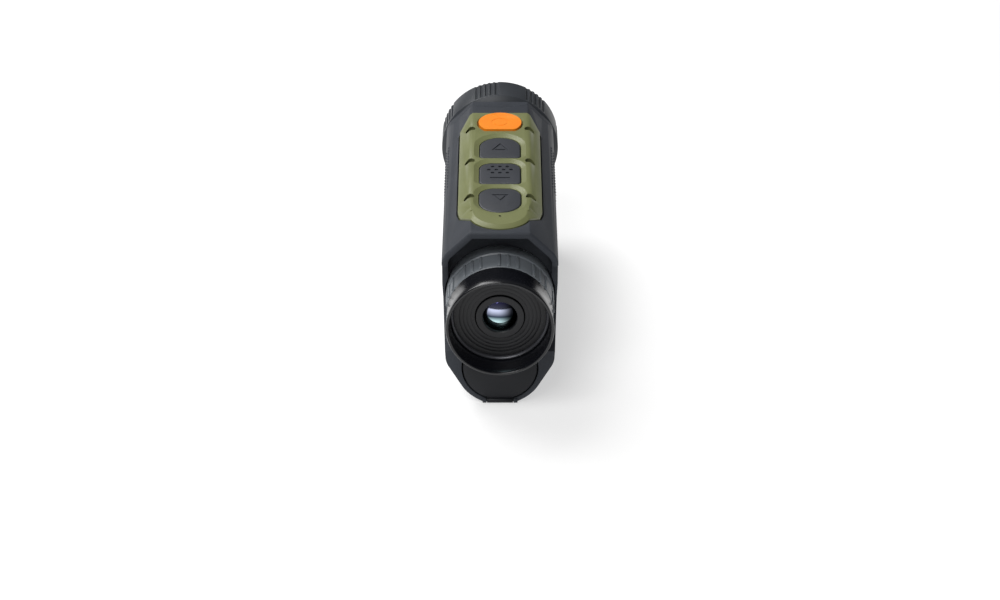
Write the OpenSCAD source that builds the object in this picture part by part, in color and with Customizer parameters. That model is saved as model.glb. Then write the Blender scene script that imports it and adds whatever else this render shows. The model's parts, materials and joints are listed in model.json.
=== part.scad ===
// Hand-held viewing monocular with a laser rangefinder.
// X to the right, Y forward along the view, Z up. The origin is under the middle, on the ground plane.
// All sizes are in millimetres.

/* [Body] */
// Half width of the body at its sides
body_half_w = 22.9; // [22:0.1:23.5]
// Height of the flat top above the ground
body_top = 72.85; // [72:0.05:73.5]
// Half width of the flat top, where the shoulders start
top_half_w = 11.8; // [11:0.1:12.5]
// Radius of the round belly
belly_r = 17.25; // [17:0.05:17.5]
// Height of the belly's centre
belly_z = 16.1; // [15.8:0.1:16.4]
// Wall thickness of the shells
wall = 2; // [1.6:0.1:2.2]
// Rear end of the lower body
rear_y = -65.6; // [-66:0.1:-65]
// Rear end of the flat top
rear_top_y = -57.7; // [-58.2:0.1:-57.4]

/* [Objective] */
// Height of the objective axis
objective_z = 49.65; // [49.65]
// Outer radius of the focus ring
ring_r = 25.15; // [25:0.05:25.15]
// Rear end of the focus ring
ring_rear_y = 59.5; // [59.3:0.1:60]
// Front end of the focus ring
ring_front_y = 76; // [75:0.5:77]
// Depth of the grip grooves
groove_depth = 0.6; // [0.3:0.1:0.8]

/* [Eyepiece] */
// Height of the eyepiece axis
eye_z = 40.3; // [40.2:0.1:40.5]
// Outer radius of the dioptre ring
dioptre_r = 21.5; // [21.3:0.1:21.5]
// Rear rim of the eyecup
eyecup_rear_y = -76; // [-77:0.5:-75]
// Outer radius of the eyecup's rim
eyecup_r = 21.2; // [20.9:0.1:21.3]

/* [Buttons] */
// Travel of a button
button_travel = 0.6; // [0.4:0.1:0.7]
// Gap around a button
button_gap = 0.25; // [0.2:0.05:0.35]

/* [Battery] */
// Radius of the battery case
battery_r = 8.3; // [8:0.1:8.3]
// Height of the battery axis
battery_z = 10.1; // [10:0.1:10.2]

/* [Tripod] */
// Minor radius of the tripod thread
tripod_r = 3.175; // [3.175]
// Place of the tripod thread along the body
tripod_y = 22; // [20:1:24]

/* [Hidden] */
$fn = 96;

// Finishes
shell_grey = "#45474b";
dark_grey = "#2c2e31";
rubber_black = "#1c1d1f";
panel_olive = "#7f8459";
power_orange = "#f7993a";
metal_black = "#222326";
steel = "#b9bcc0";
brass = "#b99a52";
board_green = "#1f5a3a";
glass_blue = "#8fa6c8";
germanium = "#4a4038";
cell_blue = "#2d5f9a";
gasket_red = "#7a2f26";
ribbon_amber = "#b5762c";
sensor_gold = "#8a7a55";

// Body section
corner_low = [21.5, 18.84];
corner_mid = [body_half_w, 46];
corner_high = [body_half_w, body_top - (body_half_w - top_half_w)];
corner_top = [top_half_w, body_top];
belly_start = -asin(belly_z / belly_r);
belly_end = -30;
low_round = 8;
side_round = 7;
top_round = 1;

// Main housing
rear_wall_y = -46.5;
cavity_rear_y = -44;
seam_y = 57;
collar_y = 59;
pod_top = 23.8;
pod_front_y = 66;
seam_cone_y = 54;
seam_cone_slope = 1.3;
rim_side = 1;
rim_top = 2.4;
recess_r = 22.2;
slant_low_z = 24;
slant_high_z = 58;

// Battery door and bay
door_r = 15.1;
door_pocket_r = 15.3;
door_t = 2.8;
pocket_y = -61.3;
bore_r = battery_r + 0.25;
battery_rear_y = -61.1;
battery_front_y = 6;
sleeve_front_y = 9;
sleeve_wall = 0.8;
hinge_z = 1.1;
hinge_pin_r = 0.5;
knuckle_r = 1.05;
knuckle_half = 5.2;
ear_end = 7;

// Button panel
bezel_proud = 1.2;
bezel_sunk = 1.2;
dish_depth = 1;
bezel_z = body_top + bezel_proud;
board_z = 66.9;
board_t = 1.2;
dome_h = 1.1;
flange_z = 70;
flange_h = 0.8;
flange_out = 0.8;
cap_z = 73.2;
power_z = 74.6;
power_y = 36;
power_r = 9;
power_flat_y = 29.4;
button_w = 8.4;
up_span = [6, 24.3];
mode_span = [-16.8, 1.2];
down_span = [-41, -20.8];
screw_x = 12;
screw_rows = [-40.5, 3.6, 27.8];
pipe_y = -45.6;
pipe_z = 68.5;
pipe_r = 0.5;

// Optics
barrel_inner_r = 19;
barrel_outer_r = 22.35;
cell_rear_r = 17.3;
cell_front_r = 20.8;
run_fit = 0.08;
focus_travel = 1.5;
lens_r = 18.4;

// Rangefinder pod
emitter_x = -7.6;
receiver_x = 7.6;
pod_z = 13.6;
emitter_r = 5.6;
receiver_r = 7.1;

// Electronics
main_board_z = 24;
main_board_t = 1.6;
port_y = 16;
port_w = 9;
port_h = 3.2;
port_z = main_board_z + main_board_t + port_h / 2;
cover_axis = [21.35, 22.9];
pivot_x = 12.5;
pivot_z = 59;
blade_turn = 50;

// ---- Outlines ----

function unit(v) = v / norm(v);
function arc(c, r, a0, a1, n) =
    [for (i = [0:n]) let (a = a0 + (a1 - a0) * i / n) c + r * [cos(a), sin(a)]];
function turn(a0, a1) = ((a1 - a0 + 900) % 360) - 180;
// Corner p1 between p0 and p2, rounded to the radius r by n steps
function fillet(p0, p1, p2, r, n) =
    let (
        d0 = unit(p0 - p1),
        d2 = unit(p2 - p1),
        half = acos(d0 * d2) / 2,
        reach = r / tan(half),
        c = p1 + unit(d0 + d2) * r / sin(half),
        s = p1 + d0 * reach - c,
        e = p1 + d2 * reach - c,
        a0 = atan2(s[1], s[0]),
        a1 = atan2(e[1], e[0])
    )
    arc(c, r, a0, a0 + turn(a0, a1), n);
function mirrored(half) = [for (i = [len(half) - 1:-1:0]) [-half[i][0], half[i][1]]];
function left_normal(a, b) = let (d = unit(b - a)) [-d[1], d[0]];
// Convex outline moved inwards by t, or outwards when t is negative
function inset(p, t) =
    [for (i = [0:len(p) - 1])
        let (
            a = p[(i + len(p) - 1) % len(p)],
            b = p[i],
            c = p[(i + 1) % len(p)],
            n1 = left_normal(a, b),
            n2 = left_normal(b, c)
        )
        b + t * (n1 + n2) / (1 + n1 * n2)];

belly_steps = 8;
sharp_half = concat(
    arc([0, belly_z], belly_r, belly_start, belly_end, belly_steps),
    [corner_low, corner_mid, corner_high, corner_top]
);
sharp_outline = concat(sharp_half, mirrored(sharp_half));
// Body outline moved inwards by t, with its corners rounded
function body_outline(t) =
    let (
        m = inset(sharp_outline, t),
        k = belly_steps + 1,
        half = concat(
            [for (i = [0:k - 1]) m[i]],
            fillet(m[k - 1], m[k], m[k + 1], low_round - t, 5),
            [m[k + 1]],
            fillet(m[k + 1], m[k + 2], m[k + 3], side_round - t, 5),
            fillet(m[k + 2], m[k + 3], [0, m[k + 3][1]], max(top_round - t, 0.2), 3)
        )
    )
    concat(half, mirrored(half));

bezel_half = concat(
    arc([0, -41.73], 12.77, -90, -34.7, 8),
    [[16, -38.5], [17, -32.8], [17, 36.2], [13, 44.6], [11.5, 46]]
);
// Outline from its right half and the mirror image of it, with the first point on the middle line
function whole(half) = concat(half, [for (i = [len(half) - 1:-1:1]) [-half[i][0], half[i][1]]]);
bezel_outline = whole(bezel_half);

// ---- Helpers ----

// Prism along Y of an outline in X and Z
module along_y(y0, y1) {
    translate([0, y1, 0]) rotate([90, 0, 0]) linear_extrude(y1 - y0) children();
}

module body_prism(y0, y1, t = 0) {
    along_y(y0, y1) polygon(body_outline(t));
}

// Body of revolution about an axis along Y, from points of radius and Y
module turned(z, points, x = 0) {
    translate([x, 0, z]) rotate([-90, 0, 0]) rotate_extrude() polygon(points);
}

module rod_y(z, r, y0, y1, x = 0) {
    translate([x, y0, z]) rotate([-90, 0, 0]) cylinder(r = r, h = y1 - y0);
}

module tube_y(z, r, r_in, y0, y1, x = 0) {
    turned(z, [[r_in, y0], [r, y0], [r, y1], [r_in, y1]], x);
}

module rod_x(y, z, r, x0, x1) {
    translate([x0, y, z]) rotate([0, 90, 0]) cylinder(r = r, h = x1 - x0);
}

module box(low, high) {
    translate(low) cube(high - low);
}

// Pan-head screw that points along -Z from its seat
module screw_down(at, r, length) {
    translate(at - [0, 0, length]) cylinder(r = r, h = length, $fn = 32);
    translate(at) cylinder(r = 2 * r, h = r, $fn = 32);
}

// Sag of a lens face of curvature radius c at the radius r
function sag(r, c) = sign(c) * (abs(c) - sqrt(c * c - r * r));
// Lens section from its rear vertex y0 to its front vertex y1, with the curvatures c0 and c1
function lens_points(r, y0, c0, y1, c1, n = 8) = concat(
    [for (i = [0:n]) let (q = r * i / n) [q, y0 + sag(q, c0)]],
    [for (i = [n:-1:0]) let (q = r * i / n) [q, y1 - sag(q, c1)]]
);

// Button outline in plan: half width w between the rear and front ends, with their corner radii
module button_plan(w, span, r_rear, r_front) {
    front = span[1];
    rear = span[0];
    right = concat(
        [[0, rear]],
        fillet([0, rear], [w, rear], [w, front], r_rear, 10),
        fillet([w, rear], [w, front], [0, front], r_front, 10),
        [[0, front]]
    );
    polygon(concat(right, [for (i = [len(right) - 2:-1:1]) [-right[i][0], right[i][1]]]));
}

module up_plan(grow = 0) {
    w = button_w + grow;
    button_plan(w, up_span + [-grow, grow], 1.5, w - 0.5);
}

module mode_plan(grow = 0) {
    button_plan(button_w + grow, mode_span + [-grow, grow], 1.5, 5);
}

module down_plan(grow = 0) {
    w = button_w + grow;
    button_plan(w, down_span + [-grow, grow], w - 0.5, 6);
}

module power_plan(grow = 0) {
    intersection() {
        translate([0, power_y]) circle(r = power_r + grow);
        translate([-power_r - 2, power_flat_y - grow]) square([2 * power_r + 4, 2 * power_r + 4]);
    }
}

module slice(z0, z1) {
    translate([0, 0, z0]) linear_extrude(z1 - z0) children();
}

// ---- Shells ----

// Space behind the rear rim, which slants forward and then goes straight up
module rear_cut() {
    far = body_top + 10;
    translate([-40, 0, 0]) rotate([90, 0, 90]) linear_extrude(80)
        polygon([
            [rear_y, slant_low_z],
            [rear_top_y, slant_high_z],
            [rear_top_y, far],
            [rear_y - 20, far],
            [rear_y - 20, slant_low_z]
        ]);
}

// Hollow in which the dioptre ring turns
module rear_recess() {
    intersection() {
        body_prism(rear_y - 5, rear_wall_y, rim_side);
        rod_y(eye_z, recess_r, rear_y - 5, rear_wall_y);
    }
    intersection() {
        body_prism(rear_y - 5, rear_wall_y, rim_top);
        box([-40, rear_y - 5, eye_z], [40, rear_wall_y, body_top]);
    }
}

module seam_cone(grow) {
    reach = 12;
    turned(objective_z, [
        [0, seam_cone_y - reach],
        [body_top - objective_z - reach * seam_cone_slope + grow, seam_cone_y - reach],
        [body_top - objective_z + reach * seam_cone_slope + grow, seam_cone_y + reach],
        [0, seam_cone_y + reach]
    ]);
}

module battery_bore(grow = 0) {
    rod_y(battery_z, bore_r + grow, pocket_y - 1, sleeve_front_y);
}

module bezel_skin(outer, inner, grow = 0) {
    intersection() {
        difference() {
            body_prism(-60, 56, -outer);
            body_prism(-61, 57, inner);
        }
        slice(body_top - 12, body_top + 5) polygon(inset(bezel_outline, -grow));
    }
}

module cover_space(grow) {
    difference() {
        intersection() {
            body_prism(port_y - 7 - grow, port_y + 7 + grow, -0.4);
            box([15, port_y - 20, cover_axis[1]], [30, port_y + 20, 33 + grow]);
        }
        body_prism(port_y - 12, port_y + 12, 1 + grow);
    }
    rod_y(cover_axis[1], 0.7 + grow, port_y - 7 - grow, port_y + 7 + grow, cover_axis[0]);
}

screw_points = [[17, 64.2], [-17, 64.2], [18.4, 28.5], [-18.4, 28.5]];

module main_housing() {
    color(shell_grey) difference() {
        union() {
            difference() {
                body_prism(rear_y, seam_y);
                rear_cut();
                rear_recess();
                body_prism(cavity_rear_y, seam_y + 1, wall);
            }
            // Bosses for the front screws and for the tripod insert
            intersection() {
                body_prism(rear_y, seam_y, 1);
                union() {
                    for (p = screw_points) {
                        rod_y(p[1], 2.4, 47, seam_y, p[0]);
                    }
                    translate([0, tripod_y, 0]) cylinder(r = 7, h = 9);
                    for (y = screw_rows, s = [-1, 1]) {
                        translate([s * screw_x, y, board_z + board_t]) cylinder(r = 1.8, h = 4, $fn = 32);
                    }
                }
            }
            // Hinge ears of the battery door
            for (s = [-1, 1]) {
                rod_x(rear_y, hinge_z, knuckle_r, min(s * (knuckle_half + 0.2), s * ear_end),
                    max(s * (knuckle_half + 0.2), s * ear_end));
            }
        }
        intersection() {
            seam_cone(0);
            box([-40, seam_cone_y - 2, 26], [40, seam_y + 5, 80]);
        }
        // Battery door pocket, battery bore and the gap for the hinge knuckle
        rod_y(belly_z, door_pocket_r, rear_y - 5, pocket_y);
        battery_bore();
        rod_x(rear_y, hinge_z, knuckle_r + 0.25, -knuckle_half - 0.2, knuckle_half + 0.2);
        rod_x(rear_y, hinge_z, hinge_pin_r, -ear_end - 1, ear_end + 1);
        // Seat of the ocular barrel
        rod_y(eye_z, 17, rear_wall_y - 1, cavity_rear_y + 1);
        // Pocket of the button bezel and the window under the buttons
        bezel_skin(5, bezel_sunk, 0.15);
        box([-10.1, -42.6, body_top - 5], [10.1, 45.4, body_top]);
        translate([0, pipe_y, pipe_z - 0.6]) cylinder(r = pipe_r + 0.1, h = 10, $fn = 32);
        box([-0.7, pipe_y, pipe_z - 0.7], [0.7, cavity_rear_y + 1, pipe_z + 0.7]);
        for (y = screw_rows, s = [-1, 1]) {
            translate([s * screw_x, y, board_z]) cylinder(r = 0.9, h = 2.8, $fn = 32);
        }
        for (p = screw_points) {
            rod_y(p[1], 1, 48, seam_y + 1, p[0]);
        }
        translate([0, tripod_y, -1]) cylinder(r = 4.8, h = 9.2);
        // Charging port
        cover_space(0.25);
        box([18, port_y - 5.2, port_z - 2.1], [24, port_y + 5.2, port_z + 2.9]);
    }
}

module front_housing() {
    color(shell_grey) difference() {
        union() {
            intersection() {
                body_prism(seam_cone_y - 2, seam_y + 0.5);
                seam_cone(-0.1);
                box([-40, seam_cone_y - 2, 26.1], [40, seam_y + 5, 80]);
            }
            body_prism(seam_y + 0.05, collar_y);
            intersection() {
                body_prism(seam_y + 0.05, pod_front_y);
                box([-40, seam_y, -1], [40, pod_front_y, pod_top]);
            }
        }
        rod_y(objective_z, barrel_inner_r + 0.1, seam_cone_y - 5, collar_y + 1);
        intersection() {
            body_prism(seam_cone_y - 3, pod_front_y + 1, wall);
            box([-40, seam_cone_y - 3, -1], [40, pod_front_y + 1, pod_top - wall]);
        }
        for (p = screw_points) {
            rod_y(p[1], 1.15, seam_cone_y - 3, collar_y + 1, p[0]);
            rod_y(p[1], 2, collar_y - 1.1, collar_y + 1, p[0]);
        }
    }
}

module housing_screws() {
    color(steel) for (p = screw_points) {
        rod_y(p[1], 0.95, 49, collar_y - 1.1, p[0]);
        difference() {
            rod_y(p[1], 1.9, collar_y - 1.1, collar_y - 0.1, p[0]);
            translate([p[0], collar_y - 0.6, p[1]]) rotate([-90, 30, 0]) cylinder(r = 0.8, h = 2, $fn = 6);
        }
    }
}

// ---- Button panel ----

module button_bezel() {
    color(panel_olive) difference() {
        bezel_skin(bezel_proud, bezel_sunk - 0.05);
        slice(body_top - 5, body_top + 5) power_plan(button_gap);
        slice(body_top - 5, body_top + 5) up_plan(button_gap);
        slice(body_top - 5, body_top + 5) mode_plan(button_gap);
        slice(body_top - 5, body_top + 5) down_plan(button_gap);
        // Dished surrounds
        slice(bezel_z - dish_depth, bezel_z + 5) power_plan(0.6);
        slice(bezel_z - dish_depth, bezel_z + 5) up_plan(1.6);
        slice(bezel_z - dish_depth, bezel_z + 5) mode_plan(1.2);
        slice(bezel_z - dish_depth, bezel_z + 5) down_plan(1.6);
        translate([0, pipe_y, body_top - 5]) cylinder(r = pipe_r + 0.02, h = 10, $fn = 32);
    }
}

// Cap, flange and plunger of a button, around its plan
module button_body(top, plunger_y) {
    slice(flange_z, top) children(0);
    slice(flange_z, flange_z + flange_h) children(1);
    translate([0, plunger_y, board_z + board_t + dome_h + button_travel + 0.05])
        cylinder(r = 1.5, h = 1, $fn = 32);
}

module power_button() {
    color(power_orange) button_body(power_z, power_y) {
        power_plan();
        power_plan(flange_out);
    }
}

module up_button() {
    color(dark_grey) difference() {
        button_body(cap_z, 15) {
            up_plan();
            up_plan(flange_out);
        }
        slice(cap_z - 0.3, cap_z + 1) difference() {
            polygon([[-3.4, 13], [3.4, 13], [0, 19]]);
            polygon([[-2, 13.8], [2, 13.8], [0, 17.4]]);
        }
    }
}

module mode_button() {
    color(dark_grey) difference() {
        button_body(cap_z, -8) {
            mode_plan();
            mode_plan(flange_out);
        }
        for (row = [-1:1], k = [0:2 + (row == 0 ? 1 : 0)]) {
            translate([(k - (row == 0 ? 1.5 : 1)) * 3.3, -4.5 + 3 * row, cap_z - 0.3])
                cylinder(r = 0.6, h = 1, $fn = 16);
        }
        box([-4, -12, cap_z - 0.3], [4, -11.2, cap_z + 1]);
    }
}

module down_button() {
    color(dark_grey) difference() {
        button_body(cap_z, -31) {
            down_plan();
            down_plan(flange_out);
        }
        slice(cap_z - 0.3, cap_z + 1) difference() {
            polygon([[-3.4, -26], [3.4, -26], [0, -32]]);
            polygon([[-2, -26.8], [2, -26.8], [0, -30.4]]);
        }
    }
}

module button_board() {
    color(board_green) difference() {
        box([-13.2, -43.4, board_z], [13.2, 43.5, board_z + board_t]);
        for (y = screw_rows, s = [-1, 1]) {
            translate([s * screw_x, y, board_z - 1]) cylinder(r = 1, h = 4, $fn = 32);
        }
    }
}

module dome_switches() {
    color(steel) for (y = [power_y, 15, -8, -31]) {
        translate([0, y, board_z + board_t]) cylinder(r1 = 3, r2 = 2, h = dome_h, $fn = 48);
    }
}

module board_screws() {
    color(steel) for (y = screw_rows, s = [-1, 1]) {
        translate([s * screw_x, y, board_z]) mirror([0, 0, 1]) screw_down([0, 0, 0], 0.85, 2.6);
    }
}

module light_pipe() {
    color("white") {
        translate([0, pipe_y, pipe_z - 0.5]) cylinder(r = pipe_r, h = bezel_z - pipe_z + 0.35, $fn = 32);
        box([-0.5, pipe_y, pipe_z - 0.35], [0.5, pipe_y + 4, pipe_z + 0.5]);
    }
}

// ---- Battery and its door ----

module tripod_insert() {
    color(brass) translate([0, tripod_y, 0]) difference() {
        cylinder(r = 4.75, h = 8.1);
        translate([0, 0, -1]) cylinder(r = tripod_r, h = 8);
    }
}

module battery_sleeve() {
    post_z = battery_z + 5;
    color(dark_grey) difference() {
        union() {
            intersection() {
                body_prism(cavity_rear_y + 0.1, sleeve_front_y + 1.5, wall + 0.05);
                rod_y(battery_z, bore_r + sleeve_wall, cavity_rear_y + 0.1, sleeve_front_y + 1.5);
            }
            // Posts under the main board
            for (x = [-6, 6], y = [-32, 4]) {
                translate([x, y, post_z]) cylinder(r = 1.6, h = main_board_z - post_z, $fn = 32);
            }
        }
        rod_y(battery_z, bore_r, cavity_rear_y, sleeve_front_y);
    }
}

module battery_case() {
    color(rubber_black) turned(battery_z, [
        [0, battery_rear_y], [battery_r - 0.4, battery_rear_y], [battery_r, battery_rear_y + 0.4],
        [battery_r, battery_front_y], [4, battery_front_y], [4, battery_front_y - 0.8],
        [battery_r - 0.5, battery_front_y - 0.8], [battery_r - 0.5, battery_rear_y + 1],
        [0, battery_rear_y + 1]
    ]);
}

module battery_cell() {
    color(cell_blue) turned(battery_z, [
        [0, battery_rear_y + 1.1], [battery_r - 0.6, battery_rear_y + 1.1],
        [battery_r - 0.6, battery_front_y - 0.9], [3, battery_front_y - 0.9],
        [3, battery_front_y + 0.2], [0, battery_front_y + 0.2]
    ]);
}

module battery_contacts() {
    color(brass) {
        rod_y(battery_z, 5, sleeve_front_y - 1.2, sleeve_front_y);
        for (x = [-2.2, 0, 2.2]) {
            rod_y(battery_z, 0.6, battery_front_y + 0.3, sleeve_front_y - 1.2, x);
        }
    }
}

module door_plan(grow) {
    difference() {
        translate([0, belly_z]) circle(r = door_r + grow);
        translate([0, eye_z]) circle(r = recess_r - grow);
    }
}

module battery_door() {
    color(dark_grey) difference() {
        union() {
            difference() {
                along_y(rear_y, rear_y + door_t) door_plan(0);
                rod_x(rear_y, hinge_z, knuckle_r + 0.25, -ear_end - 0.3, ear_end + 0.3);
            }
            rod_x(rear_y, hinge_z, knuckle_r, -knuckle_half, knuckle_half);
            box([-knuckle_half, rear_y, hinge_z + 0.9], [knuckle_half, rear_y + 1.4, 4]);
        }
        rod_x(rear_y, hinge_z, hinge_pin_r + 0.05, -20, 20);
    }
}

module door_seal() {
    color(gasket_red) along_y(rear_y + door_t, rear_y + door_t + 1.2) difference() {
        door_plan(-1.4);
        door_plan(-2.6);
    }
}

module door_hinge_pin() {
    color(steel) rod_x(rear_y, hinge_z, hinge_pin_r, -ear_end, ear_end);
}

// ---- Electronics ----

module main_board() {
    color(board_green) box([-17, -37, main_board_z], [17, 27, main_board_z + main_board_t]);
}

module board_chips() {
    top = main_board_z + main_board_t;
    color(rubber_black) {
        box([-8, -20, top], [6, -6, top + 1.6]);
        box([-12, 0, top], [-4, 10, top + 1.2]);
        box([0, 0, top], [8, 8, top + 1.2]);
        box([-12, -34, top], [-4, -26, top + 1]);
    }
}

module heat_spreader() {
    chip_top = main_board_z + main_board_t + 1.6;
    color(steel) box([-14, -24, chip_top + 0.05], [10, -2, chip_top + 1.2]);
}

module usb_port() {
    skin = 0.35;
    half_w = port_w / 2;
    half_h = port_h / 2;
    color(steel) translate([0, port_y, port_z]) difference() {
        box([13.2, -half_w, -half_h], [20.6, half_w, half_h]);
        box([15, skin - half_w, skin - half_h], [21, half_w - skin, half_h - skin]);
    }
    color(rubber_black) box([15, port_y - 3.3, port_z - 0.35], [19.6, port_y + 3.3, port_z + 0.35]);
}

module usb_cover() {
    color(rubber_black) {
        cover_space(0);
        box([19.8, port_y - 3.9, port_z - 0.95], [21.2, port_y + 3.9, port_z + 0.95]);
    }
}

module display_ribbon() {
    bend = concat(
        [[-37.9, 36], [-37.9, 29.2]],
        arc([-34.4, 29.2], 3.5, 180, 270, 6),
        [[-28, 25.7]]
    );
    back = [for (i = [len(bend) - 1:-1:0]) bend[i] + (i < 2 ? [0.3, 0] : [0.15, 0.3])];
    color(ribbon_amber) translate([-4, 0, 0]) rotate([90, 0, 90]) linear_extrude(8)
        polygon(concat(bend, back));
}

module sensor_board() {
    color(board_green) intersection() {
        body_prism(28, 29.4, wall + 0.15);
        box([-30, 27, 33], [30, 30, 65.5]);
    }
}

module thermal_sensor() {
    color(sensor_gold) box([-8, 29.4, objective_z - 8], [8, 32.4, objective_z + 8]);
    color(germanium) box([-5.5, 32.4, objective_z - 5], [5.5, 33, objective_z + 5]);
}

module shutter_motor() {
    color(metal_black) {
        rod_y(pivot_z, 3.2, 29.4, 34.2, pivot_x);
        rod_y(pivot_z, 0.5, 34.2, 36.6, pivot_x);
    }
}

// The blade is drawn open, turned away from the optical axis
module shutter_blade() {
    reach = norm([pivot_x, objective_z - pivot_z]);
    closed = atan2(objective_z - pivot_z, -pivot_x);
    color(metal_black) translate([pivot_x, 35.2, pivot_z]) rotate([-90, 0, 0])
        rotate([0, 0, -closed - blade_turn]) difference() {
            union() {
                translate([reach, 0, 0]) cylinder(r = 5.5, h = 0.4);
                translate([0, -1.2, 0]) cube([reach - 4, 2.4, 0.4]);
                cylinder(r = 1.6, h = 0.8, $fn = 48);
            }
            translate([0, 0, -1]) cylinder(r = 0.55, h = 3, $fn = 48);
        }
}

// ---- Objective ----

module pin_slots(r0, r1, half_length) {
    for (k = [0:2]) {
        translate([0, 0, objective_z]) rotate([0, 90 + 120 * k, 0]) {
            for (y = [-half_length, half_length]) {
                translate([0, 66 + y, r0]) cylinder(r = 1.1, h = r1 - r0, $fn = 48);
            }
            translate([-1.1, 66 - half_length, r0]) cube([2.2, 2 * half_length, r1 - r0]);
        }
    }
}

module objective_barrel() {
    color(metal_black) difference() {
        turned(objective_z, [
            [cell_rear_r + run_fit, 44], [barrel_inner_r - 0.7, 44], [barrel_inner_r - 0.7, 50],
            [barrel_inner_r, 51], [barrel_inner_r, 57.6], [18.2, 57.6],
            [18.2, 58.8], [barrel_inner_r, 58.8], [barrel_inner_r, 59.1], [barrel_outer_r, 59.1],
            [barrel_outer_r, 71.8], [cell_front_r + run_fit, 71.8], [cell_front_r + run_fit, 60.4],
            [cell_rear_r + run_fit, 60.4]
        ]);
        pin_slots(20, 24, focus_travel + 0.2);
    }
}

module barrel_seal() {
    color(gasket_red) translate([0, 58.2, objective_z]) rotate([-90, 0, 0])
        rotate_extrude() translate([18.62, 0]) circle(r = 0.41, $fn = 24);
}

module focus_ring() {
    color(shell_grey) difference() {
        turned(objective_z, [
            [barrel_outer_r + run_fit, ring_rear_y], [23.5, ring_rear_y], [ring_r, ring_rear_y + 1.4],
            [ring_r, ring_front_y - 1.2], [ring_r - 0.9, ring_front_y], [20.6, ring_front_y],
            [19.6, ring_front_y - 1.6], [19.6, ring_front_y - 2.4],
            [barrel_outer_r + run_fit, ring_front_y - 3]
        ]);
        for (g = [0:6], k = [-2:2]) {
            translate([0, 0, objective_z]) rotate([0, 38 + 360 / 7 * g + 5 * k, 0])
                translate([-0.6, ring_rear_y + 3, ring_r - groove_depth]) cube([1.2, 10.5, 2]);
        }
    }
}

module lens_cell() {
    color(metal_black) difference() {
        turned(objective_z, [
            [12.4, 46], [cell_rear_r, 46], [cell_rear_r, 62.2], [cell_front_r, 62.2], [cell_front_r, 70],
            [lens_r + 0.1, 70], [lens_r + 0.1, 62.6], [15.6, 62.6], [13.4, 50.8], [12.4, 50.8]
        ]);
        for (k = [0:2]) {
            translate([0, 66, objective_z]) rotate([0, 90 + 120 * k, 0]) translate([0, 0, 19.4])
                cylinder(r = 1, h = 4, $fn = 48);
        }
    }
}

module focus_pins() {
    color(steel) for (k = [0:2]) {
        translate([0, 66, objective_z]) rotate([0, 90 + 120 * k, 0]) translate([0, 0, 19.4])
            cylinder(r = 1, h = barrel_outer_r - 19.5, $fn = 48);
    }
}

module front_lens() {
    color(germanium) turned(objective_z, lens_points(lens_r, 65.2, -70, 68.4, 55));
}

module rear_lens() {
    color(germanium) turned(objective_z, lens_points(12.3, 46.4, 60, 50.6, 60));
}

module lens_retainer() {
    color(metal_black) turned(objective_z, [
        [17.6, 65.6], [lens_r + 0.02, 65.6], [lens_r + 0.02, 67.6], [17.6, 67.6]
    ]);
}

// ---- Rangefinder ----

module rangefinder_face() {
    color(rubber_black) difference() {
        intersection() {
            body_prism(pod_front_y + 0.05, pod_front_y + 1.5, 0.4);
            box([-40, pod_front_y, 0], [40, pod_front_y + 2, pod_top - 0.4]);
        }
        rod_y(pod_z, emitter_r - 0.4, pod_front_y - 1, pod_front_y + 5, emitter_x);
        rod_y(pod_z, receiver_r - 0.4, pod_front_y - 1, pod_front_y + 5, receiver_x);
    }
}

module emitter_window() {
    color(glass_blue) rod_y(pod_z, emitter_r - 0.45, pod_front_y + 0.1, pod_front_y + 1.1, emitter_x);
}

module receiver_window() {
    color(glass_blue) rod_y(pod_z, receiver_r - 0.45, pod_front_y + 0.1, pod_front_y + 1.1, receiver_x);
}

module emitter_tube() {
    color(metal_black) tube_y(pod_z, emitter_r, emitter_r - 0.8, 36.95, pod_front_y, emitter_x);
}

module receiver_tube() {
    color(metal_black) tube_y(pod_z, receiver_r, receiver_r - 0.8, 36.95, pod_front_y, receiver_x);
}

module emitter_lens() {
    color(glass_blue) turned(pod_z, lens_points(emitter_r - 0.85, 60, 200, 63, 12), emitter_x);
}

module receiver_lens() {
    color(glass_blue) turned(pod_z, lens_points(receiver_r - 0.85, 59, 200, 63, 14), receiver_x);
}

module laser_diode() {
    color(brass) {
        rod_y(pod_z, 4.2, 36.9, 38.1, emitter_x);
        rod_y(pod_z, 2.6, 38.1, 41.5, emitter_x);
    }
}

module detector() {
    color(brass) {
        rod_y(pod_z, 4.6, 36.9, 38.1, receiver_x);
        rod_y(pod_z, 4, 38.1, 41, receiver_x);
    }
}

module rangefinder_board() {
    color(board_green) intersection() {
        body_prism(35.5, 36.9, wall + 0.15);
        box([-30, 35, 4], [30, 37, 21.5]);
    }
}

// ---- Eyepiece ----

module ocular_barrel() {
    color(metal_black) turned(eye_z, [
        [12.1 + run_fit, -62.5], [18.3, -62.5], [18.3, -46.55], [16.9, -46.55], [16.9, -43.95],
        [19, -43.95], [19, -42.6], [15.4, -42.6], [15.4, -60.8], [13.4, -60.8], [13.4, -49.6],
        [12.1 + run_fit, -49.6]
    ]);
}

groove_shape = [[0, 0], [0.2, 0.25], [0.4, 0]];
baffle_grooves = [for (k = [0:7], p = groove_shape) [11.2 + 0.72 * k, -66.2] + p];

module baffle_disc() {
    color(rubber_black) turned(eye_z, concat(
        [[9.95, -66.2]], baffle_grooves,
        [[18.1, -66.2], [18.1, -62.6], [17, -62.6], [17, -64.6], [9.95, -64.6]]
    ));
}

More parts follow.
